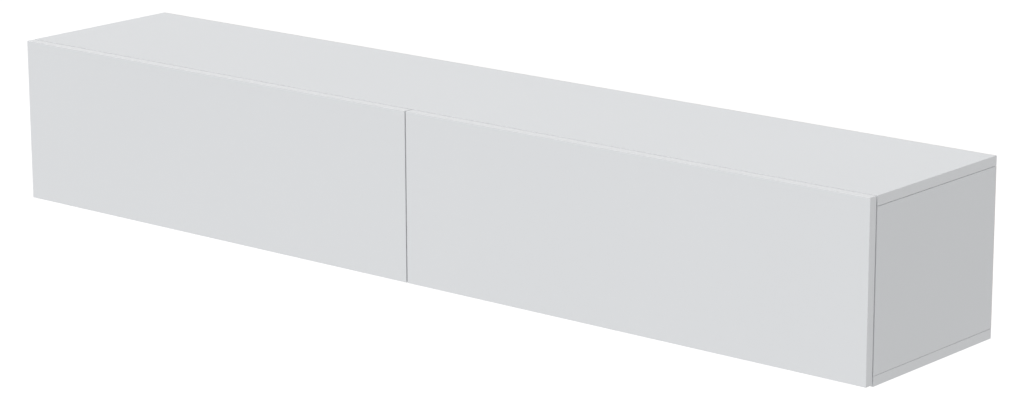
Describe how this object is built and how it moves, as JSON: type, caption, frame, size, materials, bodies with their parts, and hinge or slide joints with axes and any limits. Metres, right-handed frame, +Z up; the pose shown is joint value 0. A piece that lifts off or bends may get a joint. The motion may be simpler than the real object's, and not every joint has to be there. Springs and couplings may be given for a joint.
{
  "type": "floating media console",
  "caption": "Wall-hung white media console with handleless drop-down doors on concealed hinges, friction stays and push latches, hung by hooks on a steel wall rail.",
  "frame": {"origin": "middle of the wall rail's screw line, on the wall plane", "axes": "+Z up, +X along the console to the viewer's right, +Y into the wall, doors face -Y"},
  "size_m": [1.8, 0.34, 0.29],
  "materials": {
    "white_laminate": "white melamine-faced particle board, satin with a fine pearl texture",
    "white_edging": "white ABS edging, satin",
    "white_hardboard": "white lacquered hardboard",
    "nickel_plated_steel": "nickel-plated pressed steel",
    "zinc_plated_steel": "bright zinc-plated steel",
    "cast_zinc": "tumbled zinc die casting",
    "grey_plastic": "light grey moulded plastic",
    "dark_plastic": "dark grey moulded plastic with a soft tip",
    "beech": "fluted beech dowel"
  },
  "bodies": {
    "carcass": {"back_panel_screws": "zinc_plated_steel", "bottom_panel": "white_laminate", "bottom_panel_edging": "white_edging", "cam_bolts": "zinc_plated_steel", "cam_locks": "cast_zinc", "carcass_screws": "zinc_plated_steel", "centre_divider": "white_laminate", "divider_edging": "white_edging", "hanger_adjusters": "zinc_plated_steel", "hanger_hooks": "zinc_plated_steel", "hinge_plates": "nickel_plated_steel", "left_back_panel": "white_hardboard", "left_inner_hanger": "grey_plastic", "left_inner_hinge_arm": "nickel_plated_steel", "left_latch_housing": "grey_plastic", "left_middle_hinge_arm": "nickel_plated_steel", "left_outer_hanger": "grey_plastic", "left_outer_hinge_arm": "nickel_plated_steel", "left_side_edging": "white_edging", "left_side_panel": "white_laminate", "right_back_panel": "white_hardboard", "right_inner_hanger": "grey_plastic", "right_inner_hinge_arm": "nickel_plated_steel", "right_latch_housing": "grey_plastic", "right_middle_hinge_arm": "nickel_plated_steel", "right_outer_hanger": "grey_plastic", "right_outer_hinge_arm": "nickel_plated_steel", "right_side_edging": "white_edging", "right_side_panel": "white_laminate", "stay_bases": "nickel_plated_steel", "top_panel": "white_laminate", "top_panel_edging": "white_edging", "wall_rail": "zinc_plated_steel", "wood_dowels": "beech"},
    "left_door": {"left_door_edging": "white_edging", "left_door_panel": "white_laminate", "left_door_screws": "zinc_plated_steel", "left_hinge_cups": "nickel_plated_steel", "left_hinge_pins": "nickel_plated_steel", "left_stay_brackets": "nickel_plated_steel", "left_strike_plate": "nickel_plated_steel"},
    "right_door": {"right_door_edging": "white_edging", "right_door_panel": "white_laminate", "right_door_screws": "zinc_plated_steel", "right_hinge_cups": "nickel_plated_steel", "right_hinge_pins": "nickel_plated_steel", "right_stay_brackets": "nickel_plated_steel", "right_strike_plate": "nickel_plated_steel"},
    "left_outer_stay_swivel": {"left_outer_stay_swivel": "grey_plastic"},
    "left_outer_stay_rod": {"left_outer_stay_rod": "nickel_plated_steel"},
    "left_inner_stay_swivel": {"left_inner_stay_swivel": "grey_plastic"},
    "left_inner_stay_rod": {"left_inner_stay_rod": "nickel_plated_steel"},
    "right_outer_stay_swivel": {"right_outer_stay_swivel": "grey_plastic"},
    "right_outer_stay_rod": {"right_outer_stay_rod": "nickel_plated_steel"},
    "right_inner_stay_swivel": {"right_inner_stay_swivel": "grey_plastic"},
    "right_inner_stay_rod": {"right_inner_stay_rod": "nickel_plated_steel"},
    "left_latch_plunger": {"left_latch_plunger": "dark_plastic"},
    "right_latch_plunger": {"right_latch_plunger": "dark_plastic"}
  },
  "joints": [
    {"name": "left_door_drop", "type": "hinge", "parent": "carcass", "child": "left_door", "pos_m": [0, -0.333, -0.21485], "axis": [1, 0, 0], "range_deg": [0, 90]},
    {"name": "right_door_drop", "type": "hinge", "parent": "carcass", "child": "right_door", "pos_m": [0, -0.333, -0.21485], "axis": [1, 0, 0], "range_deg": [0, 90]},
    {"name": "left_outer_swivel_turn", "type": "hinge", "parent": "carcass", "child": "left_outer_stay_swivel", "pos_m": [-0.8706, -0.24944, -0.11527], "axis": [1, 0, 0], "range_deg": [0, 45]},
    {"name": "left_outer_rod_turn", "type": "hinge", "parent": "left_door", "child": "left_outer_stay_rod", "pos_m": [-0.8706, -0.312, -0.08656], "axis": [1, 0, 0], "range_deg": [-45, 0]},
    {"name": "left_inner_swivel_turn", "type": "hinge", "parent": "carcass", "child": "left_inner_stay_swivel", "pos_m": [-0.0214, -0.24944, -0.11527], "axis": [1, 0, 0], "range_deg": [0, 45]},
    {"name": "left_inner_rod_turn", "type": "hinge", "parent": "left_door", "child": "left_inner_stay_rod", "pos_m": [-0.0214, -0.312, -0.08656], "axis": [1, 0, 0], "range_deg": [-45, 0]},
    {"name": "right_outer_swivel_turn", "type": "hinge", "parent": "carcass", "child": "right_outer_stay_swivel", "pos_m": [0.8706, -0.24944, -0.11527], "axis": [1, 0, 0], "range_deg": [0, 45]},
    {"name": "right_outer_rod_turn", "type": "hinge", "parent": "right_door", "child": "right_outer_stay_rod", "pos_m": [0.8706, -0.312, -0.08656], "axis": [1, 0, 0], "range_deg": [-45, 0]},
    {"name": "right_inner_swivel_turn", "type": "hinge", "parent": "carcass", "child": "right_inner_stay_swivel", "pos_m": [0.0214, -0.24944, -0.11527], "axis": [1, 0, 0], "range_deg": [0, 45]},
    {"name": "right_inner_rod_turn", "type": "hinge", "parent": "right_door", "child": "right_inner_stay_rod", "pos_m": [0.0214, -0.312, -0.08656], "axis": [1, 0, 0], "range_deg": [-45, 0]},
    {"name": "left_latch_press", "type": "slide", "parent": "carcass", "child": "left_latch_plunger", "axis": [0, -1, 0], "range_m": [-0.0018, 0], "stiffness_N_per_m": 600},
    {"name": "right_latch_press", "type": "slide", "parent": "carcass", "child": "right_latch_plunger", "axis": [0, -1, 0], "range_m": [-0.0018, 0], "stiffness_N_per_m": 600}
  ],
  "couplings": [
    {"joint": "left_outer_swivel_turn", "follows": "left_door_drop", "ratio": 0.5},
    {"joint": "left_outer_rod_turn", "follows": "left_door_drop", "ratio": -0.5},
    {"joint": "left_inner_swivel_turn", "follows": "left_door_drop", "ratio": 0.5},
    {"joint": "left_inner_rod_turn", "follows": "left_door_drop", "ratio": -0.5},
    {"joint": "right_outer_swivel_turn", "follows": "right_door_drop", "ratio": 0.5},
    {"joint": "right_outer_rod_turn", "follows": "right_door_drop", "ratio": -0.5},
    {"joint": "right_inner_swivel_turn", "follows": "right_door_drop", "ratio": 0.5},
    {"joint": "right_inner_rod_turn", "follows": "right_door_drop", "ratio": -0.5}
  ]
}
